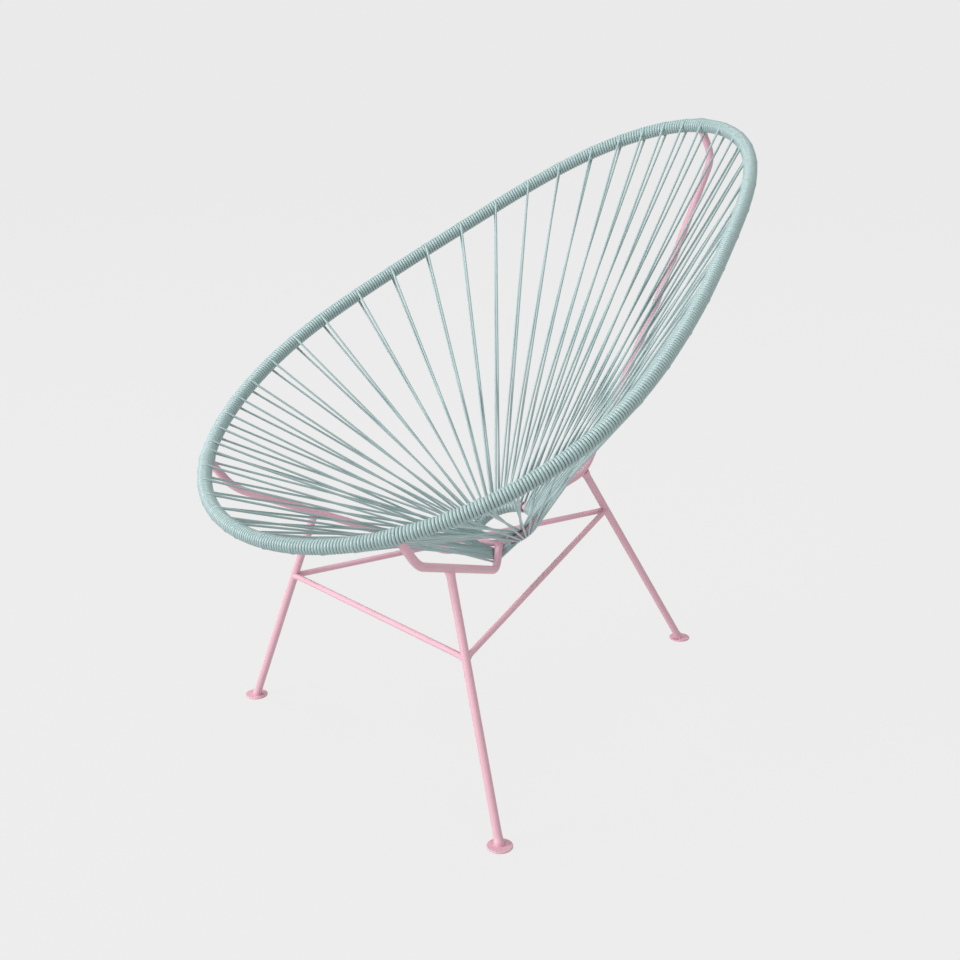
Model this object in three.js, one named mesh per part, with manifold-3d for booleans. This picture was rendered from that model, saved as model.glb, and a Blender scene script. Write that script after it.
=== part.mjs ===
// Acapulco chair: an egg-shaped rim hoop and a small hub ring, held by three bent
// rod struts on three splayed legs, and strung with plastic cord from rim to hub.
// Millimetres. +Z is up, the front edge faces -Y, and the feet stand on z = 0.

import * as THREE from 'three';
import { mergeVertices } from 'three/addons/utils/BufferGeometryUtils.js';
import Module from 'manifold-3d';

const wasm = await Module();
wasm.setup();

// Shared sizes
const ROD_RADIUS = 6;
const ROD_SIDES = 8;
const FIT_GAP = 0.3;
const CUT_OVERRUN = 8;
const JOINT_SETBACK = 3.5;
const DEGREE = Math.PI / 180;

// Rim hoop: an egg on a slope, wide towards the front, with its sides sagging a little
const RIM_MEAN_RADIUS = 406;
const RIM_EGG_SHARES = [0.19, 0.0717, 0.0357, 0.0163, 0.0084, 0.0039];
const RIM_SIDE_SAG = 14.7;
const RIM_SHOULDER_SAG = 2.1;
const RIM_SLOPE = 29.36 * DEGREE;
const RIM_CENTRE_SETBACK = -3.5;
const RIM_CENTRE_HEIGHT = 626.4;
const HOOP_SIDES = 8;
const ARC_DIVISIONS = 360;
const HOOP_STEPS_IN_A_RUN = 3;

// Hub ring: a small round ring at the bottom of the seat, its front edge low
const HUB_RING_RADIUS = 46;
const HUB_ROD_RADIUS = 5;
const HUB_SETBACK = 50;
const HUB_HEIGHT = 309;
const HUB_SLOPE = 22.5 * DEGREE;
const HUB_STEPS = 32;

// Front struts: from the rim's underside, in under the seat, and up to the hub
const FRONT_RIM_SHARE = 0.4075;
const FRONT_KNEE_FROM_RIM = [-6.3, 36.6, -50.4];
const FRONT_ELBOW_FROM_HUB = [24.3, -26.8, -30.4];
const FRONT_HUB_ANGLE = 146 * DEGREE;
const FRONT_STRUT_STEPS = 24;

// Back strut: from the rim's top, out behind the back, and down under the hub
const BACK_TOP_BEND_FROM_RIM = [0, 33, -51];
const BACK_LOW_BEND_FROM_HUB = [0, 126.5, 34.4];
const BACK_STRUT_BOW = 8;
const BACK_STRUT_STEPS = 28;
const BEND_RADIUS = 22;

// Legs, feet and braces
const FRONT_LEG_SHARE = 0.36;
const FRONT_FOOT_SPREAD = 299;
const FRONT_FOOT_REACH = -225.5;
const BACK_FOOT_REACH = 470;
const FOOT_RADIUS = 17.8;
const FOOT_THICKNESS = 3;
const FOOT_EDGE = 0.8;
const FOOT_SIDES = 24;
const BRACE_RADIUS = 4.4;
const BRACE_SIDES = 6;
const FRONT_BRACE_HEIGHT = 230.4;
const BACK_BRACE_HEIGHT = 285.4;

// Cord: one plastic cord, wound on the rim and strung to the hub in pairs
const CORD_RADIUS = 2.3;
const STRAND_RADIUS = 1.7;
const STRAND_SIDES = 5;
const STRAND_TAIL = 2;
const PAIR_COUNT = 52;
const PAIRS_IN_A_RUN = 2;
const RUN_COUNT = PAIR_COUNT / PAIRS_IN_A_RUN;
const PAIR_PHASE_SHARE = 0.5;
const PAIR_SPREAD_SHARES = [0.044, -0.038, -0.028];
const RIBS_IN_A_RUN = 4;
const RIB_DEPTH = 0.8;
const WINDING_SIDES = 8;
const BORE_CLEARANCE = 0.4;
const TURN_STEPS = 4;
const FRONT_PAIRS = 10;
const HUB_JOINT_ROOM = 8.5;

const CORD_COLOUR = 0xaebdb9;
const CORD_ROUGHNESS = 0.42;
const FRAME_COLOUR = 0xdc9fb3;
const FRAME_ROUGHNESS = 0.45;

function cordMaterial() {
  return new THREE.MeshStandardMaterial({
    color: CORD_COLOUR, roughness: CORD_ROUGHNESS, metalness: 0,
  });
}

function frameMaterial() {
  return new THREE.MeshStandardMaterial({
    color: FRAME_COLOUR, roughness: FRAME_ROUGHNESS, metalness: 0,
  });
}

// Curves
class RimCurve extends THREE.Curve {
  constructor() {
    super();
    this.arcLengthDivisions = ARC_DIVISIONS;
  }

  getPoint(share, target = new THREE.Vector3()) {
    const turn = 2 * Math.PI * share;
    let reach = 1;
    RIM_EGG_SHARES.forEach((egg, i) => {
      reach += egg * Math.cos((i + 2) * turn);
    });
    const along = RIM_MEAN_RADIUS * reach * Math.cos(turn);
    const lift = -RIM_SIDE_SAG * Math.sin(turn) ** 2 - RIM_SHOULDER_SAG * Math.sin(2 * turn) ** 2;
    return target.set(
      RIM_MEAN_RADIUS * reach * Math.sin(turn),
      RIM_CENTRE_SETBACK + along * Math.cos(RIM_SLOPE) - lift * Math.sin(RIM_SLOPE),
      RIM_CENTRE_HEIGHT + along * Math.sin(RIM_SLOPE) + lift * Math.cos(RIM_SLOPE),
    );
  }
}

class HubCurve extends THREE.Curve {
  getPoint(share, target = new THREE.Vector3()) {
    const turn = 2 * Math.PI * share;
    const along = HUB_RING_RADIUS * Math.cos(turn);
    return target.set(
      HUB_RING_RADIUS * Math.sin(turn),
      HUB_SETBACK + along * Math.cos(HUB_SLOPE),
      HUB_HEIGHT + along * Math.sin(HUB_SLOPE),
    );
  }
}

const rim = new RimCurve();
const hub = new HubCurve();
const rimLength = rim.getLength();

function hubPoint(angle) {
  return hub.getPoint(angle / (2 * Math.PI));
}

function offset(from, [x, y, z], side = 1) {
  return from.clone().add(new THREE.Vector3(side * x, y, z));
}

function towards(from, to, distance) {
  return from.clone().add(to.clone().sub(from).setLength(distance));
}

// A rod's route: straight runs with each corner rounded
function bentPath(points, bend = BEND_RADIUS) {
  const path = new THREE.CurvePath();
  let from = points[0];
  for (let i = 1; i < points.length - 1; i += 1) {
    const corner = points[i];
    const room = Math.min(corner.distanceTo(points[i - 1]), corner.distanceTo(points[i + 1])) / 2;
    const back = points[i - 1].clone().sub(corner).setLength(Math.min(bend, room));
    const on = points[i + 1].clone().sub(corner).setLength(Math.min(bend, room));
    path.add(new THREE.LineCurve3(from, corner.clone().add(back)));
    path.add(new THREE.QuadraticBezierCurve3(corner.clone().add(back), corner, corner.clone().add(on)));
    from = corner.clone().add(on);
  }
  path.add(new THREE.LineCurve3(from, points[points.length - 1]));
  return path;
}

// Solids
function circle(radius, sides) {
  const corners = [];
  for (let i = 0; i < sides; i += 1) {
    const turn = 2 * Math.PI * i / sides;
    corners.push(new THREE.Vector2(radius * Math.cos(turn), radius * Math.sin(turn)));
  }
  return new THREE.Shape(corners);
}

function solidOf(geometry) {
  const bare = geometry.clone();
  bare.deleteAttribute('normal');
  bare.deleteAttribute('uv');
  bare.clearGroups();
  const merged = mergeVertices(bare);
  return new wasm.Manifold(new wasm.Mesh({
    numProp: 3,
    vertProperties: new Float32Array(merged.attributes.position.array),
    triVerts: new Uint32Array(merged.index.array),
  }));
}

function rod(path, radius, steps, sides = ROD_SIDES) {
  return solidOf(new THREE.ExtrudeGeometry(circle(radius, sides), {
    extrudePath: path, steps, bevelEnabled: false,
  }));
}

function straightRod(from, to, radius, sides = ROD_SIDES) {
  return rod(new THREE.LineCurve3(from, to), radius, 1, sides);
}

function geometryOf(solid) {
  const mesh = solid.getMesh();
  const geometry = new THREE.BufferGeometry();
  geometry.setAttribute('position', new THREE.BufferAttribute(mesh.vertProperties, 3));
  geometry.setIndex(new THREE.BufferAttribute(mesh.triVerts, 1));
  return geometry;
}

// A ring of points round a centre, square to the direction of travel
function ring(centre, direction, across, radius, sides) {
  const first = across.clone().addScaledVector(direction, -across.dot(direction)).normalize();
  const second = first.clone().cross(direction).normalize();
  const points = [];
  for (let i = 0; i < sides; i += 1) {
    const turn = 2 * Math.PI * i / sides;
    points.push(centre.clone()
      .addScaledVector(first, radius * Math.cos(turn))
      .addScaledVector(second, radius * Math.sin(turn)));
  }
  return points;
}

// A skin from ring to ring, closed on itself or with a flat cap at both ends
function skin(rings, closed) {
  const sides = rings[0].length;
  const positions = rings.flat().flatMap((p) => [p.x, p.y, p.z]);
  const index = [];
  const bands = closed ? rings.length : rings.length - 1;
  for (let i = 0; i < bands; i += 1) {
    const here = i * sides;
    const next = ((i + 1) % rings.length) * sides;
    for (let j = 0; j < sides; j += 1) {
      const k = (j + 1) % sides;
      index.push(here + j, next + j, here + k, here + k, next + j, next + k);
    }
  }
  if (!closed) {
    const last = (rings.length - 1) * sides;
    for (let j = 1; j < sides - 1; j += 1) {
      index.push(0, j, j + 1, last, last + j + 1, last + j);
    }
  }
  const geometry = new THREE.BufferGeometry();
  geometry.setAttribute('position', new THREE.Float32BufferAttribute(positions, 3));
  geometry.setIndex(index);
  return solidOf(geometry);
}

// Rim hoop: its rings stand at the same places as the rings of the winding's bore
function rimHoop(radius = ROD_RADIUS) {
  const rings = [];
  for (let i = 0; i < RUN_COUNT * HOOP_STEPS_IN_A_RUN; i += 1) {
    const run = Math.floor(i / HOOP_STEPS_IN_A_RUN);
    const part = (i % HOOP_STEPS_IN_A_RUN) / HOOP_STEPS_IN_A_RUN;
    const share = runEdge(run) + part * (runEdge(run + 1) - runEdge(run));
    rings.push(rimRing(wrapShare(share), radius, HOOP_SIDES));
  }
  return skin(rings, true);
}

const rimNormal = new THREE.Vector3(0, -Math.sin(RIM_SLOPE), Math.cos(RIM_SLOPE));

function rimRing(share, radius, sides) {
  const direction = rim.getTangentAt(share);
  const inward = direction.clone().cross(rimNormal);
  return ring(rim.getPointAt(share), direction, inward, radius, sides);
}

function hubRing(radius = HUB_ROD_RADIUS) {
  const torus = new THREE.TorusGeometry(HUB_RING_RADIUS, radius, HOOP_SIDES, HUB_STEPS);
  torus.rotateX(HUB_SLOPE);
  torus.translate(0, HUB_SETBACK, HUB_HEIGHT);
  return solidOf(torus);
}

// Struts
function frontStrutPoints(side) {
  const rimAt = rim.getPointAt(wrapShare(side * FRONT_RIM_SHARE));
  const hubAt = hubPoint(side * FRONT_HUB_ANGLE);
  const knee = offset(rimAt, FRONT_KNEE_FROM_RIM, side);
  const elbow = offset(hubAt, FRONT_ELBOW_FROM_HUB, side);
  return [rimAt, knee, elbow, hubAt];
}

function strutRod(points, radius, steps) {
  const start = towards(points[0], points[1], JOINT_SETBACK);
  const end = towards(points.at(-1), points.at(-2), JOINT_SETBACK);
  return rod(bentPath([start, ...points.slice(1, -1), end]), radius, steps);
}

function frontStrutRod(side, radius) {
  return strutRod(frontStrutPoints(side), radius, FRONT_STRUT_STEPS);
}

function backStrutPoints() {
  const rimAt = rim.getPointAt(0);
  const hubAt = hubPoint(0);
  const top = offset(rimAt, BACK_TOP_BEND_FROM_RIM);
  const low = offset(hubAt, BACK_LOW_BEND_FROM_HUB);
  const down = low.clone().sub(top).normalize();
  const behind = new THREE.Vector3(0, -down.z, down.y);
  const waist = top.clone().lerp(low, 0.5).addScaledVector(behind, BACK_STRUT_BOW);
  return [rimAt, top, waist, low, hubAt];
}

function backStrutRod(radius) {
  return strutRod(backStrutPoints(), radius, BACK_STRUT_STEPS);
}

// A strut's ends are cut to fit round the hoop and the hub ring
function fitted(strut) {
  return strut.subtract(rimHoop(ROD_RADIUS + FIT_GAP)).subtract(hubRing(HUB_ROD_RADIUS + FIT_GAP));
}

// Legs
function frontLegTop(side) {
  const [, knee, elbow] = frontStrutPoints(side);
  return knee.lerp(elbow, FRONT_LEG_SHARE);
}

function frontFoot(side) {
  return new THREE.Vector3(side * FRONT_FOOT_SPREAD, FRONT_FOOT_REACH, 0);
}

function backLegTop() {
  return backStrutPoints()[3];
}

function backFoot() {
  return new THREE.Vector3(0, BACK_FOOT_REACH, 0);
}

// All below the top of the feet
function floorCut() {
  const size = 4 * BACK_FOOT_REACH;
  const box = new THREE.BoxGeometry(size, size, size);
  box.translate(0, 0, FOOT_THICKNESS + FIT_GAP - size / 2);
  return solidOf(box);
}

function leg(top, footPlace, strut) {
  const start = towards(top, footPlace, JOINT_SETBACK);
  const end = towards(footPlace, top, -CUT_OVERRUN);
  return straightRod(start, end, ROD_RADIUS).subtract(strut).subtract(floorCut());
}

function frontLeg(side) {
  return leg(frontLegTop(side), frontFoot(side), frontStrutRod(side, ROD_RADIUS + FIT_GAP));
}

function backLeg() {
  return leg(backLegTop(), backFoot(), backStrutRod(ROD_RADIUS + FIT_GAP));
}

function foot(place) {
  const profile = [
    [0, 0],
    [FOOT_RADIUS - FOOT_EDGE, 0],
    [FOOT_RADIUS, FOOT_EDGE],
    [FOOT_RADIUS, FOOT_THICKNESS - FOOT_EDGE],
    [FOOT_RADIUS - FOOT_EDGE, FOOT_THICKNESS],
    [0, FOOT_THICKNESS],
  ].map(([x, y]) => new THREE.Vector2(x, y));
  const disc = new THREE.LatheGeometry(profile, FOOT_SIDES);
  disc.rotateX(Math.PI / 2);
  disc.translate(place.x, place.y, 0);
  return solidOf(disc);
}

// Braces: thin rods from leg to leg
function atHeight(top, bottom, height) {
  return top.clone().lerp(bottom, (top.z - height) / (top.z - bottom.z));
}

function frontBraceEnd(side) {
  return atHeight(frontLegTop(side), frontFoot(side), FRONT_BRACE_HEIGHT);
}

function backBraceEnd() {
  return atHeight(backLegTop(), backFoot(), BACK_BRACE_HEIGHT);
}

function frontLegCut(side) {
  return straightRod(frontLegTop(side), frontFoot(side), ROD_RADIUS + FIT_GAP);
}

function backLegCut() {
  return straightRod(backLegTop(), backFoot(), ROD_RADIUS + FIT_GAP);
}

function braceRod(from, to, radius) {
  return straightRod(from, to, radius, BRACE_SIDES);
}

function frontBrace() {
  return braceRod(frontBraceEnd(-1), frontBraceEnd(1), BRACE_RADIUS)
    .subtract(frontLegCut(-1))
    .subtract(frontLegCut(1));
}

// Each side brace is cut to fit round the brace that it meets on a leg
function rightBrace() {
  return braceRod(frontBraceEnd(1), backBraceEnd(), BRACE_RADIUS)
    .subtract(frontLegCut(1))
    .subtract(backLegCut())
    .subtract(braceRod(frontBraceEnd(-1), frontBraceEnd(1), BRACE_RADIUS + FIT_GAP));
}

function leftBrace() {
  return braceRod(frontBraceEnd(-1), backBraceEnd(), BRACE_RADIUS)
    .subtract(frontLegCut(-1))
    .subtract(backLegCut())
    .subtract(braceRod(frontBraceEnd(-1), frontBraceEnd(1), BRACE_RADIUS + FIT_GAP))
    .subtract(braceRod(frontBraceEnd(1), backBraceEnd(), BRACE_RADIUS + FIT_GAP));
}

// Where each pair of strands leaves the rim, as a share of the way round from the back
function pairShare(number) {
  const place = (number + PAIR_PHASE_SHARE) / PAIR_COUNT;
  const side = place > 0.5 ? -1 : 1;
  const half = side > 0 ? 2 * place : 2 * (1 - place);
  let share = half;
  PAIR_SPREAD_SHARES.forEach((spread, i) => {
    share += spread * Math.sin((i + 1) * Math.PI * half);
  });
  return side > 0 ? share / 2 : 1 - share / 2;
}

// Where each pair loops round the hub: the loops leave room at the three strut joints
function pairHubAngle(number) {
  const onLeft = number >= PAIR_COUNT / 2;
  const rank = onLeft ? PAIR_COUNT - 1 - number : number;
  const sidePairs = (PAIR_COUNT - FRONT_PAIRS) / 2;
  const room = HUB_JOINT_ROOM / HUB_RING_RADIUS;
  let angle = room + (FRONT_HUB_ANGLE - 2 * room) * rank / (sidePairs - 1);
  if (rank >= sidePairs) {
    const from = FRONT_HUB_ANGLE + room;
    const pitch = 2 * (Math.PI - from) / (FRONT_PAIRS - 1);
    angle = from + pitch * (rank - sidePairs);
  }
  return onLeft ? -angle : angle;
}

// One pair: over the rim, in to the hub, round the hub rod and back under the rim
function pairSolid(number) {
  const share = pairShare(number);
  const angle = pairHubAngle(number);
  const rimAt = rim.getPointAt(share);
  const rimAlong = rim.getTangentAt(share);
  const hubAt = hubPoint(angle);
  const hubAlong = hub.getTangent((angle / (2 * Math.PI) + 1) % 1);
  const inward = hubAt.clone().sub(rimAt).normalize();
  const rimUp = rimAlong.clone().cross(inward).normalize();
  const hubUp = hubAlong.clone().cross(inward).normalize();
  const hubIn = inward.clone().addScaledVector(hubAlong, -inward.dot(hubAlong)).normalize();
  if (rimUp.z < 0) rimUp.negate();
  if (hubUp.z < 0) hubUp.negate();
  const rimOffset = ROD_RADIUS + BORE_CLEARANCE + STRAND_RADIUS;
  const hubOffset = (HUB_ROD_RADIUS + FIT_GAP + STRAND_RADIUS) / Math.cos(Math.PI / (2 * TURN_STEPS));
  const route = [];
  const topStart = rimAt.clone().addScaledVector(rimUp, rimOffset);
  route.push(topStart.addScaledVector(inward, -STRAND_TAIL));
  for (let i = 0; i <= TURN_STEPS; i += 1) {
    const turn = Math.PI * i / TURN_STEPS;
    route.push(hubAt.clone()
      .addScaledVector(hubUp, hubOffset * Math.cos(turn))
      .addScaledVector(hubIn, hubOffset * Math.sin(turn)));
  }
  const lowEnd = rimAt.clone().addScaledVector(rimUp, -rimOffset);
  lowEnd.addScaledVector(inward, -STRAND_TAIL);
  route.push(lowEnd);
  return skin(route.map((centre, i) => {
    const before = i > 0 ? centre.clone().sub(route[i - 1]).normalize() : new THREE.Vector3();
    const after = i < route.length - 1 ? route[i + 1].clone().sub(centre).normalize() : new THREE.Vector3();
    const direction = before.add(after).normalize();
    return ring(centre, direction, hubAlong, STRAND_RADIUS, STRAND_SIDES);
  }), false);
}

// One run's winding: a ribbed sleeve on the hoop
function windingSolid(from, to) {
  const outer = ROD_RADIUS + 2 * CORD_RADIUS;
  const bore = (ROD_RADIUS + BORE_CLEARANCE) / Math.cos(Math.PI / WINDING_SIDES);
  const rings = [];
  const ribEdges = 2 * RIBS_IN_A_RUN;
  for (let i = 0; i <= ribEdges; i += 1) {
    const radius = i % 2 === 0 ? outer - RIB_DEPTH : outer;
    rings.push(rimRing(wrapShare(from + (to - from) * i / ribEdges), radius, WINDING_SIDES));
  }
  for (let i = HOOP_STEPS_IN_A_RUN; i >= 0; i -= 1) {
    const share = from + (to - from) * i / HOOP_STEPS_IN_A_RUN;
    rings.push(rimRing(wrapShare(share), bore, WINDING_SIDES));
  }
  return skin(rings, true);
}

function wrapShare(share) {
  return (share + 1) % 1;
}

function runEdge(run) {
  const first = run * PAIRS_IN_A_RUN;
  const before = pairShare((first - 1 + PAIR_COUNT) % PAIR_COUNT) - (first === 0 ? 1 : 0);
  return (before + pairShare(first % PAIR_COUNT) + (first === PAIR_COUNT ? 1 : 0)) / 2;
}

function cordRun(run) {
  const halfGap = FIT_GAP / (2 * rimLength);
  let solid = windingSolid(runEdge(run) + halfGap, runEdge(run + 1) - halfGap);
  for (let i = 0; i < PAIRS_IN_A_RUN; i += 1) {
    solid = solid.add(pairSolid(run * PAIRS_IN_A_RUN + i));
  }
  windingHoles.forEach((hole) => {
    solid = solid.subtract(hole);
  });
  return solid;
}

// The holes that the struts' top ends need in the winding
function windingHole([rimAt, bend]) {
  return straightRod(rimAt, bend, ROD_RADIUS + 2 * FIT_GAP);
}

const windingHoles = [
  windingHole(frontStrutPoints(1)),
  windingHole(frontStrutPoints(-1)),
  windingHole(backStrutPoints()),
];

// Assembly
const chair = new THREE.Group();
chair.name = 'acapulco_chair';
const stand = new THREE.Group();
stand.name = 'stand';
chair.add(stand);

function place(name, solid, material) {
  const mesh = new THREE.Mesh(geometryOf(solid), material);
  mesh.name = name;
  stand.add(mesh);
}

place('rim_hoop', rimHoop(), frameMaterial());
place('hub_ring', hubRing(), frameMaterial());
place('front_right_strut', fitted(frontStrutRod(1, ROD_RADIUS)), frameMaterial());
place('front_left_strut', fitted(frontStrutRod(-1, ROD_RADIUS)), frameMaterial());
place('back_strut', fitted(backStrutRod(ROD_RADIUS)), frameMaterial());
place('front_right_leg', frontLeg(1), frameMaterial());
place('front_left_leg', frontLeg(-1), frameMaterial());
place('back_leg', backLeg(), frameMaterial());
place('front_right_foot', foot(frontFoot(1)), frameMaterial());
place('front_left_foot', foot(frontFoot(-1)), frameMaterial());
place('back_foot', foot(backFoot()), frameMaterial());
place('front_brace', frontBrace(), frameMaterial());
place('right_brace', rightBrace(), frameMaterial());
place('left_brace', leftBrace(), frameMaterial());
for (let run = 0; run < RUN_COUNT; run += 1) {
  place(`cord_run_${String(run + 1).padStart(2, '0')}`, cordRun(run), cordMaterial());
}

// The middle of the chair's depth stands over the origin
const extent = new THREE.Box3().setFromObject(stand);
stand.position.y = -(extent.min.y + extent.max.y) / 2;
chair.updateMatrixWorld(true);

export default chair;
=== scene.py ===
"""The looks of an acapulco chair: a powder-coated rod frame strung with plastic cord.

All lengths are in metres. +Z is up, the chair's front edge faces -Y, and its feet stand on z = 0.
Right and left are as seen from the front of the chair.
"""

import math
import random

import bpy
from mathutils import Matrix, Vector


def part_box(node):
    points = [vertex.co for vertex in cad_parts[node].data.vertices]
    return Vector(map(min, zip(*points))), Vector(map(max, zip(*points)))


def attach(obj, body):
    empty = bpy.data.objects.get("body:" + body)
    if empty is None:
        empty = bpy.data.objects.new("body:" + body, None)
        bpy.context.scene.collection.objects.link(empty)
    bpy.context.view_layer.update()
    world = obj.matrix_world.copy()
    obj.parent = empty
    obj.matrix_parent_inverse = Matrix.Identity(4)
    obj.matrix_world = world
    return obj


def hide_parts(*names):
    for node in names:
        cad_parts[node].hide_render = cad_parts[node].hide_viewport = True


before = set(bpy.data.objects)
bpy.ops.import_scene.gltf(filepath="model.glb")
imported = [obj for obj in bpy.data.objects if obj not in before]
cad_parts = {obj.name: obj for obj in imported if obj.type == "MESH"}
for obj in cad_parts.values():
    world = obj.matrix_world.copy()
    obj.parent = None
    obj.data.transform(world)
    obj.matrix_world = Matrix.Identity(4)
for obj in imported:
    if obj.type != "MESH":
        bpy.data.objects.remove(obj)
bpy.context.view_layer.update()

UP = Vector((0, 0, 1))
FULL_TURN = 2 * math.pi

# Rods, as in the solids
ROD_RADIUS = 0.006
HUB_ROD_RADIUS = 0.005
BRACE_RADIUS = 0.0044
BEND_RADIUS = 0.022
BEND_STEPS = 8
ROD_SIDES = 24
LONGEST_STEP = 0.03

# Welds: a swelling fades out along the rod, whose route has a point at each of these flare lengths
FLARE_LENGTH = 0.003
FLARE_MARKS = (0, 0.3, 0.7, 1.2, 2, 3, 4.5)
WELD_SWELL = 0.0014

# Rim hoop
RIM_MEAN_RADIUS = 0.406
RIM_EGG_SHARES = [0.19, 0.0717, 0.0357, 0.0163, 0.0084, 0.0039]
RIM_SIDE_SAG = 0.0147
RIM_SHOULDER_SAG = 0.0021
RIM_SLOPE = math.radians(29.36)
RIM_CENTRE_SETBACK = -0.0035
RIM_CENTRE_HEIGHT = 0.6264
RIM_TABLE_STEPS = 2880
HOOP_POINTS = 240
HOOP_SIDES = 12

# Hub ring
HUB_RING_RADIUS = 0.046
HUB_SETBACK = 0.05
HUB_HEIGHT = 0.309
HUB_SLOPE = math.radians(22.5)
HUB_POINTS = 96
HUB_SIDES = 20

# Struts, legs and braces
FRONT_RIM_SHARE = 0.4075
FRONT_KNEE_FROM_RIM = (-0.0063, 0.0366, -0.0504)
FRONT_ELBOW_FROM_HUB = (0.0243, -0.0268, -0.0304)
FRONT_HUB_ANGLE = math.radians(146)
BACK_TOP_BEND_FROM_RIM = (0, 0.033, -0.051)
BACK_LOW_BEND_FROM_HUB = (0, 0.1265, 0.0344)
BACK_STRUT_BOW = 0.008
FRONT_LEG_SHARE = 0.36
FRONT_FOOT_SPREAD = 0.299
FRONT_FOOT_REACH = -0.2255
BACK_FOOT_REACH = 0.47
FRONT_BRACE_HEIGHT = 0.2304
BACK_BRACE_HEIGHT = 0.2854

# Feet
FOOT_RADIUS = 0.0178
FOOT_THICKNESS = 0.003
FOOT_EDGE = 0.0012
FOOT_POINTS = 64
FOOT_EDGE_STEPS = 5
LEG_END_HEIGHT = FOOT_THICKNESS * 1.5

# Cord: wound side by side on the rim, and strung in pairs of strands from the rim to the hub
CORD_RADIUS = 0.0023
TURN_RADIUS = 0.0022
STRAND_RADIUS = 0.0017
WINDING_RADIUS = ROD_RADIUS + CORD_RADIUS
TURN_PITCH = 0.0046
STEPS_A_TURN = 20
CORD_SIDES = 8
STRAND_SIDES = 10
PAIR_COUNT = 52
PAIRS_IN_A_RUN = 2
RUN_COUNT = PAIR_COUNT // PAIRS_IN_A_RUN
FIT_GAP = 0.0003

# Where the pairs leave the rim: millimetres along it from the middle of its back, as strung by hand
RIGHT_PLACES = [
    9, 54, 104, 148, 200, 258, 322, 389, 459, 528, 597, 667, 736,
    797, 851, 899, 940, 980, 1022, 1072, 1112, 1152, 1196, 1243, 1292,
]
LEFT_PLACES = [
    28, 64, 100, 143, 195, 252, 313, 379, 448, 516, 585, 655, 726, 788,
    848, 901, 941, 983, 1021, 1056, 1081, 1124, 1164, 1210, 1254, 1298, 1325,
]

# A pair's rank from the back on its side, and its loop's place on the hub in degrees from the back
RIGHT_HUB_STOPS = [(0, 8.5), (15, 90), (19, 110), (24, 124)]
LEFT_HUB_STOPS = [(0, 9.5), (17, 137)]

# The front pairs on the left cross over, and loop round the hub just behind the right strut's
# riser. They bear on it this far down, each a little lower than the one in front of it.
FIRST_CROSSED_RANK = 18
CROSSED_HUB_STOPS = [(18, 127), (26, 139)]
CROSSED_RISER_DEPTH = 0.006
CROSSED_RISER_PITCH = 0.0005

# How far down the riser the front pairs on the right bear on its back, by rank
RISER_DEPTHS = {20: 0.0286, 21: 0.0228, 22: 0.0184, 23: 0.0148, 24: 0.0114}

# Round the riser: the side that strands pass, the steps of their way, and what keeps a root off 0
RISER_FAR_SIDE = Vector((-1, 0.4, 0))
RISER_WRAP_STEPS = 10
LEAST_SQUARE = 1e-12

# A pair's loop round the hub: its half turns on each side, and the steps and advance of each one
RIGHT_HALF_TURNS = 1
LEFT_HALF_TURNS = 3
HUB_TURN_STEPS = 12
LOOP_ADVANCE = 0.0018

# The strand that comes back meets the rim this many turns before the one that leaves
RETURN_TURNS = 0.5

# A strand's ends thicken and sink into the winding
WRAP_ANGLE = math.radians(150)
WRAP_STEP = math.radians(15)
WRAP_STEPS = round(WRAP_ANGLE / WRAP_STEP)
WRAP_LIFT = 0.0006
TAPER_LENGTH = 0.02

# The winding's swelling over a strut's weld, and the hand's unevenness in placing the pairs
JOINT_SWELL = 0.0014
JOINT_SWELL_LENGTH = 0.011
HAND_WANDER = 0.0009
HAND_SEED = 11

# Colours as they look on screen, from 0 to 255
CORD_DARK = (152, 175, 175)
CORD_LIGHT = (163, 184, 184)
COAT_DARK = (216, 169, 183)
COAT_LIGHT = (223, 177, 190)

# What the two finishes share
TONE_DETAIL = 3
ROUGHNESS_SPREAD = 0.1
BUMP_STRENGTH = 0.08

# Studio
FLOOR_HALF = 30
FLOOR_DROP = 0.0002
FLOOR_SEEN = 0.815
FLOOR_BOUNCE = 0.62
FLOOR_CLOTH = (0.03, 0.03, 0.03, 1)
BACKDROP = 0.824
SKY_STRENGTH = 0.24
WHITE = (1, 1, 1, 1)

# Lamps: the place, width and power of each, and where they all point
LAMPS = {
    "key": ((-1.9, -5.6, 2.3), 3.2, 350),
    "top": ((-0.8, -0.6, 6.4), 2.4, 185),
    "fill": ((5.2, -1.0, 1.7), 3.2, 72),
}
LAMPS_AIM = Vector((0, 0, 0.4))

# Camera, fitted to the photograph
LENS = 50.87
SENSOR = 36
CAMERA_PLACE = (1.468, -1.266, 0.980)
CAMERA_AZIMUTH = math.radians(49.22)
CAMERA_PITCH = math.radians(16.92)
CAMERA_ROLL = math.radians(0.10)

# The solids stand with the middle of their depth over the origin
back_foot_low, back_foot_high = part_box("back_foot")
DEPTH_SHIFT = (back_foot_low.y + back_foot_high.y) / 2 - BACK_FOOT_REACH


def place(x, y, z):
    return Vector((x, y + DEPTH_SHIFT, z))


# Node trees


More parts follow.
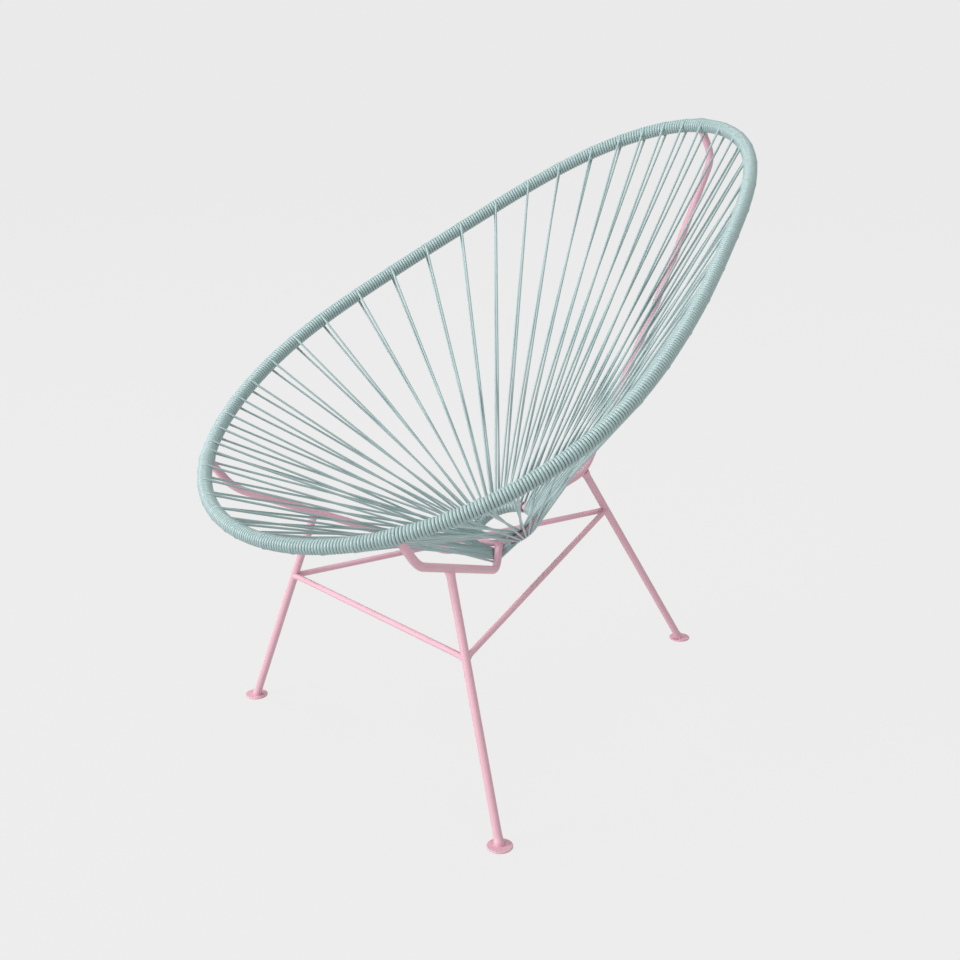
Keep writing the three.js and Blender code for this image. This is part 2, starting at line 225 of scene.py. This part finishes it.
class Sum:
    """A number in a node tree, with the usual operators."""

    def __init__(self, tree, socket):
        self.tree = tree
        self.socket = socket

    def _math(self, operation, left, right=None):
        node = self.tree.new("ShaderNodeMath", {"operation": operation})
        for slot, value in enumerate((left, right)):
            if value is not None:
                self.tree.feed(node.inputs[slot], value)
        return Sum(self.tree, node.outputs[0])

    def __add__(self, other):
        return self._math("ADD", self, other)

    def __radd__(self, other):
        return self._math("ADD", other, self)

    def __sub__(self, other):
        return self._math("SUBTRACT", self, other)

    def __rsub__(self, other):
        return self._math("SUBTRACT", other, self)

    def __mul__(self, other):
        return self._math("MULTIPLY", self, other)

    def __rmul__(self, other):
        return self._math("MULTIPLY", other, self)

    def __truediv__(self, other):
        return self._math("DIVIDE", self, other)

    def __neg__(self):
        return self._math("MULTIPLY", self, -1)

    def sine(self):
        return self._math("SINE", self)

    def cosine(self):
        return self._math("COSINE", self)

    def exponential(self):
        return self._math("EXPONENT", self)


class Tree:
    """A node tree, whose nodes all come from one method."""

    def __init__(self, nodes, links):
        self.nodes = nodes
        self.links = links

    def feed(self, socket, value):
        if isinstance(value, Sum):
            value = value.socket
        if isinstance(value, bpy.types.NodeSocket):
            self.links.new(value, socket)
        else:
            socket.default_value = value

    def new(self, kind, settings=None, inputs=None):
        node = self.nodes.new(kind)
        for name, value in (settings or {}).items():
            setattr(node, name, value)
        for name, value in (inputs or {}).items():
            self.feed(node.inputs[name], value)
        return node

    def number(self, kind, output, settings=None, inputs=None):
        return Sum(self, self.new(kind, settings, inputs).outputs[output])

    def vector(self, operation, *values, scale=None):
        node = self.new("ShaderNodeVectorMath", {"operation": operation})
        for slot, value in enumerate(values):
            self.feed(node.inputs[slot], value)
        if scale is not None:
            self.feed(node.inputs["Scale"], scale)
        return node.outputs[0]


# Materials


def material(name):
    made = bpy.data.materials.new(name)
    made.use_nodes = True
    tree = Tree(made.node_tree.nodes, made.node_tree.links)
    return made, tree, made.node_tree.nodes["Principled BSDF"]


def linear(colour):
    """A colour as it looks on screen, as the renderer counts it."""
    shares = [value / 255 for value in colour]
    return (*(s / 12.92 if s <= 0.04045 else ((s + 0.055) / 1.055) ** 2.4 for s in shares), 1)


def blend_colours(tree, factor, dark, light):
    node = tree.new("ShaderNodeMix", {"data_type": "RGBA"})
    for slot, value in ((0, factor), (6, linear(dark)), (7, linear(light))):
        tree.feed(node.inputs[slot], value)
    return node.outputs[2]


def satin_material(name, dark, light, tone_scale, roughness, specular,
                   grain_scale, grain_detail, grain_depth):
    """A satin skin with slow, faint changes of tone and a fine grain."""
    made, tree, shader = material(name)
    coordinates = tree.new("ShaderNodeTexCoord").outputs["Object"]
    tone = tree.number("ShaderNodeTexNoise", "Fac", inputs={
        "Vector": coordinates, "Scale": tone_scale, "Detail": TONE_DETAIL,
    })
    grain = tree.number("ShaderNodeTexNoise", "Fac", inputs={
        "Vector": coordinates, "Scale": grain_scale, "Detail": grain_detail,
    })
    tree.feed(shader.inputs["Base Color"], blend_colours(tree, tone, dark, light))
    tree.feed(shader.inputs["Roughness"], roughness + tone * ROUGHNESS_SPREAD)
    tree.feed(shader.inputs["Specular IOR Level"], specular)
    bump = tree.new("ShaderNodeBump", inputs={
        "Height": grain, "Strength": BUMP_STRENGTH, "Distance": grain_depth,
    })
    tree.feed(shader.inputs["Normal"], bump.outputs[0])
    return made


def cord_material():
    """Smooth plastic cord."""
    return satin_material(
        "plastic_cord", CORD_DARK, CORD_LIGHT, tone_scale=9, roughness=0.36, specular=0.7,
        grain_scale=900, grain_detail=2, grain_depth=0.0003,
    )


def coat_material():
    """Powder coat on steel rod, with a fine orange peel for its grain."""
    return satin_material(
        "powder_coat", COAT_DARK, COAT_LIGHT, tone_scale=14, roughness=0.42, specular=0.5,
        grain_scale=300, grain_detail=1, grain_depth=0.0002,
    )


plastic_cord = cord_material()
powder_coat = coat_material()


# The rim and the hub as curves


def rim_point(turn):
    reach = 1
    for order, share in enumerate(RIM_EGG_SHARES, start=2):
        reach += share * math.cos(order * turn)
    along = RIM_MEAN_RADIUS * reach * math.cos(turn)
    lift = -RIM_SIDE_SAG * math.sin(turn) ** 2 - RIM_SHOULDER_SAG * math.sin(2 * turn) ** 2
    return place(
        RIM_MEAN_RADIUS * reach * math.sin(turn),
        RIM_CENTRE_SETBACK + along * math.cos(RIM_SLOPE) - lift * math.sin(RIM_SLOPE),
        RIM_CENTRE_HEIGHT + along * math.sin(RIM_SLOPE) + lift * math.cos(RIM_SLOPE),
    )


def rim_lengths():
    lengths = [0]
    before = rim_point(0)
    for step in range(1, RIM_TABLE_STEPS + 1):
        here = rim_point(FULL_TURN * step / RIM_TABLE_STEPS)
        lengths.append(lengths[-1] + (here - before).length)
        before = here
    return lengths


RIM_LENGTHS = rim_lengths()
RIM_LENGTH = RIM_LENGTHS[-1]


def rim_turn(distance):
    """The angle round the rim at a distance along it from the middle of its back."""
    laps, rest = divmod(distance, RIM_LENGTH)
    low, high = 0, RIM_TABLE_STEPS
    while high - low > 1:
        middle = (low + high) // 2
        if RIM_LENGTHS[middle] <= rest:
            low = middle
        else:
            high = middle
    part = (rest - RIM_LENGTHS[low]) / (RIM_LENGTHS[high] - RIM_LENGTHS[low])
    return FULL_TURN * (laps + (low + part) / RIM_TABLE_STEPS)


def rim_frame(distance):
    """The rim's centre, its direction, and the level and upright directions square to it."""
    turn = rim_turn(distance)
    step = math.pi / RIM_TABLE_STEPS
    direction = (rim_point(turn + step) - rim_point(turn - step)).normalized()
    inward = direction.cross(UP).normalized()
    return rim_point(turn), direction, inward, inward.cross(direction)


def hub_point(angle):
    along = HUB_RING_RADIUS * math.cos(angle)
    return place(
        HUB_RING_RADIUS * math.sin(angle),
        HUB_SETBACK + along * math.cos(HUB_SLOPE),
        HUB_HEIGHT + along * math.sin(HUB_SLOPE),
    )


def hub_direction(angle):
    return Vector((
        math.cos(angle),
        -math.sin(angle) * math.cos(HUB_SLOPE),
        -math.sin(angle) * math.sin(HUB_SLOPE),
    ))


# Sweeping a round section along a path


def group_input(group, name, kind, value=None):
    socket = group.interface.new_socket(name, in_out="INPUT", socket_type=kind)
    if value is not None:
        socket.default_value = value


def new_group(name):
    group = bpy.data.node_groups.new(name, "GeometryNodeTree")
    for way in ("INPUT", "OUTPUT"):
        group.interface.new_socket("Geometry", in_out=way, socket_type="NodeSocketGeometry")
    return group, Tree(group.nodes, group.links)


def finish_sweep(tree, curve, radius, sides, scale, finish):
    """A round section on the curve, made one smooth mesh with its material."""
    section = tree.new("GeometryNodeCurvePrimitiveCircle", inputs={
        "Resolution": sides, "Radius": radius,
    })
    sweep = tree.new("GeometryNodeCurveToMesh", inputs={
        "Curve": curve, "Profile Curve": section.outputs[0], "Scale": scale, "Fill Caps": True,
    })
    smooth = tree.new("GeometryNodeSetShadeSmooth", inputs={"Geometry": sweep.outputs[0]})
    whole = tree.new("GeometryNodeRealizeInstances", inputs={"Geometry": smooth.outputs[0]})
    painted = tree.new("GeometryNodeSetMaterial", inputs={
        "Geometry": whole.outputs[0], "Material": finish,
    })
    tree.feed(tree.new("NodeGroupOutput").inputs[0], painted.outputs[0])


def rod_group():
    """A rod along a curve whose point radius is the rod's own."""
    group, tree = new_group("rod_along_curve")
    group_input(group, "Sides", "NodeSocketInt", ROD_SIDES)
    group_input(group, "Finish", "NodeSocketMaterial")
    given = tree.new("NodeGroupInput").outputs
    radius = tree.new("GeometryNodeInputRadius").outputs[0]
    finish_sweep(tree, given["Geometry"], 1, given["Sides"], radius, given["Finish"])
    return group


def winding_group():
    """Cord wound side by side on a stretch of the rim, swelling where it crosses a strut's weld."""
    group, tree = new_group("winding_on_rim")
    group_input(group, "Turn Pitch", "NodeSocketFloat", TURN_PITCH)
    group_input(group, "Winding Radius", "NodeSocketFloat", WINDING_RADIUS)
    group_input(group, "Cord Radius", "NodeSocketFloat", TURN_RADIUS)
    group_input(group, "Start Along Rim", "NodeSocketFloat", 0)
    group_input(group, "Steps", "NodeSocketInt", STEPS_A_TURN)
    group_input(group, "Joint Along Rim", "NodeSocketFloat", -1)
    group_input(group, "Joint Swell", "NodeSocketFloat", JOINT_SWELL)
    group_input(group, "Swell Length", "NodeSocketFloat", JOINT_SWELL_LENGTH)
    group_input(group, "Finish", "NodeSocketMaterial")
    given = tree.new("NodeGroupInput").outputs
    fine = tree.new("GeometryNodeResampleCurve", inputs={
        "Curve": given["Geometry"], "Count": given["Steps"],
    })
    start = Sum(tree, given["Start Along Rim"])
    along = tree.number("GeometryNodeSplineParameter", "Length") + start
    angle = along / given["Turn Pitch"] * FULL_TURN
    off_joint = (along - given["Joint Along Rim"]) / given["Swell Length"]
    swell = (-(off_joint * off_joint)).exponential() * given["Joint Swell"]
    radius = swell + given["Winding Radius"]
    direction = tree.new("GeometryNodeInputTangent").outputs[0]
    level = tree.vector("NORMALIZE", tree.vector("CROSS_PRODUCT", direction, UP))
    upright = tree.vector("CROSS_PRODUCT", level, direction)
    shift = tree.vector(
        "ADD",
        tree.vector("SCALE", level, scale=radius * angle.cosine()),
        tree.vector("SCALE", upright, scale=radius * angle.sine()),
    )
    wound = tree.new("GeometryNodeSetPosition", inputs={
        "Geometry": fine.outputs[0], "Offset": shift,
    })
    finish_sweep(tree, wound.outputs[0], given["Cord Radius"], CORD_SIDES, 1, given["Finish"])
    return group


ROD_GROUP = rod_group()
WINDING_GROUP = winding_group()


def in_scene(name, data):
    made = bpy.data.objects.new(name, data)
    bpy.context.scene.collection.objects.link(made)
    return made


def curve_object(name, routes, closed=False):
    """Routes are lists of (point, radius)."""
    data = bpy.data.curves.new(name, "CURVE")
    data.dimensions = "3D"
    for route in routes:
        spline = data.splines.new("POLY")
        spline.points.add(len(route) - 1)
        for point, (at, radius) in zip(spline.points, route):
            point.co = (*at, 1)
            point.radius = radius
        spline.use_cyclic_u = closed
    return in_scene(name, data)


def grown(name, source, group, values):
    """The mesh that a node group makes of a curve. The curve itself is removed."""
    modifier = source.modifiers.new(group.name, "NODES")
    modifier.node_group = group
    sockets = [item for item in group.interface.items_tree if item.in_out == "INPUT"]
    identifiers = {socket.name: socket.identifier for socket in sockets}
    for key, value in values.items():
        modifier[identifiers[key]] = value
    bpy.context.view_layer.update()
    evaluated = source.evaluated_get(bpy.context.evaluated_depsgraph_get())
    mesh = bpy.data.meshes.new_from_object(evaluated)
    mesh.name = name
    bpy.data.objects.remove(source)
    return in_scene(name, mesh)


def rod(name, routes, finish, sides=ROD_SIDES, closed=False):
    source = curve_object(name + "_route", routes, closed)
    return grown(name, source, ROD_GROUP, {"Sides": sides, "Finish": finish})


def joined(name, parts):
    """One object of several meshes."""
    bpy.ops.object.select_all(action="DESELECT")
    for part in parts:
        part.select_set(True)
    bpy.context.view_layer.objects.active = parts[0]
    bpy.ops.object.join()
    whole = bpy.context.view_layer.objects.active
    whole.name = name
    whole.data.name = name
    return whole


def dress(piece, node):
    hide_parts(node)
    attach(piece, "root")


# Routes of the frame's rods


def offset(from_point, by, side=1):
    return from_point + Vector((side * by[0], by[1], by[2]))


def bent_route(points):
    """Straight runs with each corner rounded."""
    route = [points[0]]
    for before, corner, after in zip(points, points[1:], points[2:]):
        room = min((before - corner).length, (after - corner).length) / 2
        start = corner + (before - corner).normalized() * min(BEND_RADIUS, room)
        end = corner + (after - corner).normalized() * min(BEND_RADIUS, room)
        for step in range(BEND_STEPS + 1):
            part = step / BEND_STEPS
            bend = start * (1 - part) ** 2 + corner * (2 * part * (1 - part)) + end * part ** 2
            route.append(bend)
    route.append(points[-1])
    return route


def marked_end(points, depth):
    """A route with close points where a weld swells it, from its first point on."""
    start = points[0]
    away = (points[1] - start).normalized()
    reach = depth + FLARE_LENGTH * FLARE_MARKS[-1]
    kept = [point for point in points if (point - start).length > reach or point == points[-1]]
    return [start] + [start + away * (depth + FLARE_LENGTH * mark) for mark in FLARE_MARKS] + kept


def flared(points, radius, start_depth=None, end_depth=None):
    """A rod's route with a weld's swelling where it meets the surface of another rod.

    The depths are how far each end lies inside the other rod."""
    dense = []
    for here, after in zip(points, points[1:]):
        count = max(1, math.ceil((after - here).length / LONGEST_STEP))
        dense += [here.lerp(after, step / count) for step in range(count)]
    dense.append(points[-1])
    if start_depth is not None:
        dense = marked_end(dense, start_depth)
    if end_depth is not None:
        dense = marked_end(dense[::-1], end_depth)[::-1]

    def swell(at):
        total = 0
        for end, depth in ((points[0], start_depth), (points[-1], end_depth)):
            if depth is not None:
                off = max(0, (at - end).length - depth)
                total += WELD_SWELL * math.exp(-(off / FLARE_LENGTH))
        return total

    return [(at, radius + swell(at)) for at in dense]


def front_strut_points(side):
    rim_at = rim_frame(side * FRONT_RIM_SHARE * RIM_LENGTH)[0]
    hub_at = hub_point(side * FRONT_HUB_ANGLE)
    return [
        rim_at,
        offset(rim_at, FRONT_KNEE_FROM_RIM, side),
        offset(hub_at, FRONT_ELBOW_FROM_HUB, side),
        hub_at,
    ]


def back_strut_points():
    rim_at = rim_point(0)
    hub_at = hub_point(0)
    top = offset(rim_at, BACK_TOP_BEND_FROM_RIM)
    low = offset(hub_at, BACK_LOW_BEND_FROM_HUB)
    down = (low - top).normalized()
    behind = Vector((0, -down.z, down.y))
    return [rim_at, top, (top + low) / 2 + behind * BACK_STRUT_BOW, low, hub_at]


def strut_route(points):
    return flared(bent_route(points), ROD_RADIUS, ROD_RADIUS, HUB_ROD_RADIUS)


def front_leg_ends(side):
    knee, elbow = front_strut_points(side)[1:3]
    foot_at = place(side * FRONT_FOOT_SPREAD, FRONT_FOOT_REACH, 0)
    return knee.lerp(elbow, FRONT_LEG_SHARE), foot_at


def back_leg_ends():
    return back_strut_points()[3], place(0, BACK_FOOT_REACH, 0)


def at_height(ends, height):
    top, bottom = ends
    return top.lerp(bottom, (top.z - height) / (top.z - bottom.z))


def leg_route(ends):
    """Down to just above the foot, and from there straight down into its disc."""
    top, bottom = ends
    direction = (bottom - top).normalized()
    above_foot = bottom - direction * (LEG_END_HEIGHT / -direction.z)
    route = flared([top, above_foot], ROD_RADIUS, ROD_RADIUS, FOOT_THICKNESS)
    level_end = Vector((above_foot.x, above_foot.y, FOOT_THICKNESS / 2))
    return route + [(level_end, route[-1][1])]


def brace_route(start, end):
    return flared([start, end], BRACE_RADIUS, ROD_RADIUS, ROD_RADIUS)


# The frame's pieces


def foot_disc(name, centre):
    """A flat disc with a rounded rim, turned about its middle."""
    outline = []
    for middle, start in ((FOOT_EDGE, -math.pi / 2), (FOOT_THICKNESS - FOOT_EDGE, 0)):
        for step in range(FOOT_EDGE_STEPS + 1):
            turn = start + math.pi / 2 * step / FOOT_EDGE_STEPS
            outline.append((
                FOOT_RADIUS - FOOT_EDGE + FOOT_EDGE * math.cos(turn),
                middle + FOOT_EDGE * math.sin(turn),
            ))
    points = [centre]
    for radius, height in outline:
        for step in range(FOOT_POINTS):
            turn = FULL_TURN * step / FOOT_POINTS
            across, along = radius * math.cos(turn), radius * math.sin(turn)
            points.append(centre + Vector((across, along, height)))
    points.append(centre + Vector((0, 0, FOOT_THICKNESS)))
    faces = []
    for step in range(FOOT_POINTS):
        after = (step + 1) % FOOT_POINTS
        faces.append((0, 1 + after, 1 + step))
        for ring in range(len(outline) - 1):
            low, high = 1 + ring * FOOT_POINTS, 1 + (ring + 1) * FOOT_POINTS
            faces.append((low + step, low + after, high + after, high + step))
        last = 1 + (len(outline) - 1) * FOOT_POINTS
        faces.append((last + step, last + after, len(points) - 1))
    mesh = bpy.data.meshes.new(name)
    mesh.from_pydata([tuple(point) for point in points], [], faces)
    mesh.polygons.foreach_set("use_smooth", [len(face) == 4 for face in faces])
    mesh.materials.append(powder_coat)
    return in_scene(name, mesh)


def coated_rod(name, node, route, sides=ROD_SIDES, closed=False):
    dress(rod(name, [route], powder_coat, sides, closed), node)


def coated_foot(name, node, centre):
    dress(foot_disc(name, centre), node)


def closed_route(point_at, count, radius):
    return [(point_at(FULL_TURN * step / count), radius) for step in range(count)]


def build_frame():
    hoop = closed_route(rim_point, HOOP_POINTS, ROD_RADIUS)
    coated_rod("rim_rod", "rim_hoop", hoop, HOOP_SIDES, closed=True)
    ring = closed_route(hub_point, HUB_POINTS, HUB_ROD_RADIUS)
    coated_rod("hub_rod", "hub_ring", ring, HUB_SIDES, closed=True)
    back_joint = at_height(back_leg_ends(), BACK_BRACE_HEIGHT)
    for side, word in ((1, "right"), (-1, "left")):
        ends = front_leg_ends(side)
        strut = strut_route(front_strut_points(side))
        coated_rod(f"front_{word}_strut_rod", f"front_{word}_strut", strut)
        coated_rod(f"front_{word}_leg_rod", f"front_{word}_leg", leg_route(ends))
        coated_foot(f"front_{word}_disc", f"front_{word}_foot", ends[1])
        brace = brace_route(at_height(ends, FRONT_BRACE_HEIGHT), back_joint)
        coated_rod(f"{word}_brace_rod", f"{word}_brace", brace)
    coated_rod("back_strut_rod", "back_strut", strut_route(back_strut_points()))
    coated_rod("back_leg_rod", "back_leg", leg_route(back_leg_ends()))
    coated_foot("back_disc", "back_foot", back_leg_ends()[1])
    joints = [at_height(front_leg_ends(side), FRONT_BRACE_HEIGHT) for side in (-1, 1)]
    coated_rod("front_brace_rod", "front_brace", brace_route(*joints))


# Seat cord


def pair_places():
    """Where each pair leaves the rim, clockwise from the back as seen from above."""
    right = [spot / 1000 for spot in RIGHT_PLACES]
    left = [RIM_LENGTH - spot / 1000 for spot in reversed(LEFT_PLACES)]
    return right + left


PAIR_PLACES = pair_places()


def pair_side(number):
    return 1 if number < len(RIGHT_PLACES) else -1


def pair_rank(number):
    return number if pair_side(number) > 0 else PAIR_COUNT - 1 - number


def crosses(number):
    return pair_side(number) < 0 and pair_rank(number) >= FIRST_CROSSED_RANK


def pair_hub_angle(number):
    """Where a pair loops round the hub, with room left at the three strut joints."""
    rank, side = pair_rank(number), pair_side(number)
    stops = RIGHT_HUB_STOPS if side > 0 else LEFT_HUB_STOPS
    if crosses(number):
        side, stops = 1, CROSSED_HUB_STOPS
    for (low, start), (high, end) in zip(stops, stops[1:]):
        if rank <= high:
            break
    return side * math.radians(start + (end - start) * (rank - low) / (high - low))


def run_edge(run):
    """Where a run of cord starts, along the rim."""
    first = run * PAIRS_IN_A_RUN
    before = PAIR_PLACES[first - 1] - (RIM_LENGTH if first == 0 else 0)
    after = PAIR_PLACES[first % PAIR_COUNT] + (RIM_LENGTH if first == PAIR_COUNT else 0)
    return (before + after) / 2


def wound_point(distance, angle, lift):
    """A point on the winding's centre line, or lifted a little off it."""
    centre, _, inward, upright = rim_frame(distance)
    away = inward * math.cos(angle) + upright * math.sin(angle)
    return centre + away * (WINDING_RADIUS + lift)


def sunk_end(spot, angle, way):
    """From where a strand meets the rim, on round it, sinking into the winding."""
    route = []
    for step in range(1, WRAP_STEPS + 1):
        along = spot + way * step * WRAP_STEP / FULL_TURN * TURN_PITCH
        lift = WRAP_LIFT * (1 - step / WRAP_STEPS)
        route.append((wound_point(along, angle + way * step * WRAP_STEP, lift), CORD_RADIUS))
    return route


def hub_loop(angle, heading):
    """A pair's way round the hub rod, from its underside to its top."""
    hub_at, hub_along = hub_point(angle), hub_direction(angle)
    hub_up = hub_along.cross(heading).normalized()
    if hub_up.z < 0:
        hub_up.negate()
    hub_in = (heading - hub_along * heading.dot(hub_along)).normalized()
    reach = HUB_ROD_RADIUS + FIT_GAP + STRAND_RADIUS
    half_turns = RIGHT_HALF_TURNS if angle > 0 else LEFT_HALF_TURNS
    loop = []
    for step in range(half_turns * HUB_TURN_STEPS + 1):
        turn = math.pi * step / HUB_TURN_STEPS
        aside = hub_along * (LOOP_ADVANCE * (half_turns / 2 - step / HUB_TURN_STEPS))
        below, within = hub_up * (reach * math.cos(turn)), hub_in * (reach * math.sin(turn))
        loop.append(hub_at + aside - below + within)
    return loop


def round_riser(start, end, depth, layer):
    """A taut strand's way round the inner and back faces of the right strut's riser."""
    hub_at = hub_point(FRONT_HUB_ANGLE)
    down = Vector(FRONT_ELBOW_FROM_HUB).normalized()
    reach = ROD_RADIUS + FIT_GAP + STRAND_RADIUS * (1 + 2 * layer)

    def flat(point):
        """The point's height along the riser and its place square to it."""
        away = point - hub_at
        height = away.dot(down)
        return height, away - down * height

    start_height, start_flat = flat(start)
    end_height, end_flat = flat(end)
    across = start_flat.normalized()
    other = down.cross(across)
    if other.dot(RISER_FAR_SIDE) < 0:
        other.negate()
    first = math.acos(reach / start_flat.length)
    end_angle = math.atan2(end_flat.dot(other), end_flat.dot(across)) % FULL_TURN
    last = end_angle - math.acos(min(1, reach / end_flat.length))
    start_run = math.sqrt(start_flat.length_squared - reach ** 2)
    end_run = math.sqrt(max(LEAST_SQUARE, end_flat.length_squared - reach ** 2))
    half_arc = reach * (last - first) / 2
    first_height = depth - (depth - start_height) / (start_run + half_arc) * half_arc
    last_height = depth + (end_height - depth) / (end_run + half_arc) * half_arc
    points = []
    for step in range(RISER_WRAP_STEPS + 1):
        part = step / RISER_WRAP_STEPS
        turn = first + (last - first) * part
        height = (first_height * (1 - part) ** 2 + depth * 2 * part * (1 - part)
                  + last_height * part ** 2)
        away = (across * math.cos(turn) + other * math.sin(turn)) * reach
        points.append(hub_at + down * height + away)
    return points


def tapered(end, towards):
    """Where a strand that leaves the winding has thinned to its strung size."""
    return end + (towards - end).normalized() * TAPER_LENGTH, STRAND_RADIUS


def strand_route(number, wander):
    """Over the rim to the hub's underside, round the hub rod, and back under the rim."""
    station = PAIR_PLACES[number] + wander
    centre, _, inward, upright = rim_frame(station)
    hub_angle = pair_hub_angle(number)
    heading = (hub_point(hub_angle) - centre).normalized()
    leave = math.atan2(heading.dot(upright), heading.dot(inward)) + math.pi / 2
    turns = round(station / TURN_PITCH - leave / FULL_TURN)
    leave_at = (turns + leave / FULL_TURN) * TURN_PITCH
    return_at = leave_at - RETURN_TURNS * TURN_PITCH
    top = wound_point(leave_at, leave, WRAP_LIFT)
    low = wound_point(return_at, leave - math.pi, WRAP_LIFT)
    way = hub_loop(hub_angle, heading)
    rank = pair_rank(number)
    if crosses(number):
        depth = CROSSED_RISER_DEPTH + CROSSED_RISER_PITCH * (len(LEFT_PLACES) - 1 - rank)
        way = round_riser(top, way[0], depth, rank % 2) + way
    elif pair_side(number) > 0 and rank in RISER_DEPTHS:
        way = round_riser(top, way[0], RISER_DEPTHS[rank], 0) + way
    return [
        *reversed(sunk_end(leave_at, leave, 1)),
        (top, CORD_RADIUS),
        tapered(top, way[0]),
        *((point, STRAND_RADIUS) for point in way),
        tapered(low, way[-1]),
        (low, CORD_RADIUS),
        *sunk_end(return_at, leave - math.pi, -1),
    ]


def winding(name, start, end):
    """The turns of one run, as a mesh."""
    length = end - start
    steps = math.ceil(length / TURN_PITCH * STEPS_A_TURN)
    guide = [(rim_frame(start + length * step / steps)[0], 1) for step in range(steps + 1)]
    joints = [0, FRONT_RIM_SHARE * RIM_LENGTH, (1 - FRONT_RIM_SHARE) * RIM_LENGTH, RIM_LENGTH]
    joint = min(joints, key=lambda spot: abs(spot - (start + end) / 2))
    return grown(name, curve_object(name + "_route", [guide]), WINDING_GROUP, {
        "Start Along Rim": start, "Steps": steps + 1, "Joint Along Rim": joint,
        "Finish": plastic_cord,
    })


def build_cord():
    hand = random.Random(HAND_SEED)
    for run in range(RUN_COUNT):
        name = f"cord_{run + 1:02d}"
        turns = winding(name + "_turns", run_edge(run), run_edge(run + 1))
        first = run * PAIRS_IN_A_RUN
        routes = [
            strand_route(number, hand.uniform(-HAND_WANDER, HAND_WANDER))
            for number in range(first, first + PAIRS_IN_A_RUN)
        ]
        strands = rod(name + "_strands", routes, plastic_cord, STRAND_SIDES)
        dress(joined(name, [turns, strands]), f"cord_run_{run + 1:02d}")


# Studio


def seen_or_given(tree, seen, given):
    """One strength for what the camera and reflections see, and another for the light given."""
    path = tree.new("ShaderNodeLightPath")
    share = Sum(tree, path.outputs["Is Camera Ray"]) + path.outputs["Is Glossy Ray"]
    share = share + path.outputs["Is Transmission Ray"]
    return share * seen + (1 - share) * given


def floor_material():
    """A floor that looks one flat colour from anywhere, and still takes the chair's shadow."""
    made, tree, shader = material("pale_floor")
    tree.nodes.remove(shader)
    strength = seen_or_given(tree, FLOOR_SEEN, FLOOR_BOUNCE)
    glow = tree.new("ShaderNodeEmission", inputs={"Color": WHITE, "Strength": strength})
    cloth = tree.new("ShaderNodeBsdfDiffuse", inputs={"Color": FLOOR_CLOTH})
    both = tree.new("ShaderNodeAddShader")
    tree.feed(both.inputs[0], glow.outputs[0])
    tree.feed(both.inputs[1], cloth.outputs[0])
    tree.feed(tree.nodes["Material Output"].inputs["Surface"], both.outputs[0])
    return made


def studio():
    corners = [(x * FLOOR_HALF, y * FLOOR_HALF, -FLOOR_DROP)
               for x, y in ((-1, -1), (1, -1), (1, 1), (-1, 1))]
    mesh = bpy.data.meshes.new("studio_floor")
    mesh.from_pydata(corners, [], [(0, 1, 2, 3)])
    mesh.materials.append(floor_material())
    floor = in_scene("studio_floor", mesh)

    world = bpy.data.worlds.new("studio")
    bpy.context.scene.world = world
    world.use_nodes = True
    tree = Tree(world.node_tree.nodes, world.node_tree.links)
    background = tree.nodes["Background"]
    tree.feed(background.inputs["Color"], WHITE)
    tree.feed(background.inputs["Strength"], seen_or_given(tree, BACKDROP, SKY_STRENGTH))


def lamp(name, at, size, power):
    data = bpy.data.lights.new(name, "AREA")
    data.shape = "DISK"
    data.size = size
    data.energy = power
    made = in_scene(name, data)
    made.location = at
    made.rotation_euler = (LAMPS_AIM - Vector(at)).to_track_quat("-Z", "Y").to_euler()


def camera():
    data = bpy.data.cameras.new("camera")
    data.lens = LENS
    data.sensor_width = SENSOR
    made = in_scene("camera", data)
    made.location = place(*CAMERA_PLACE)
    made.rotation_euler = (math.pi / 2 - CAMERA_PITCH, CAMERA_ROLL, CAMERA_AZIMUTH)
    bpy.context.scene.camera = made


build_frame()
build_cord()
studio()
for lamp_name, (lamp_place, width, power) in LAMPS.items():
    lamp(lamp_name, lamp_place, width, power)
camera()
bpy.context.scene.view_settings.view_transform = "Standard"
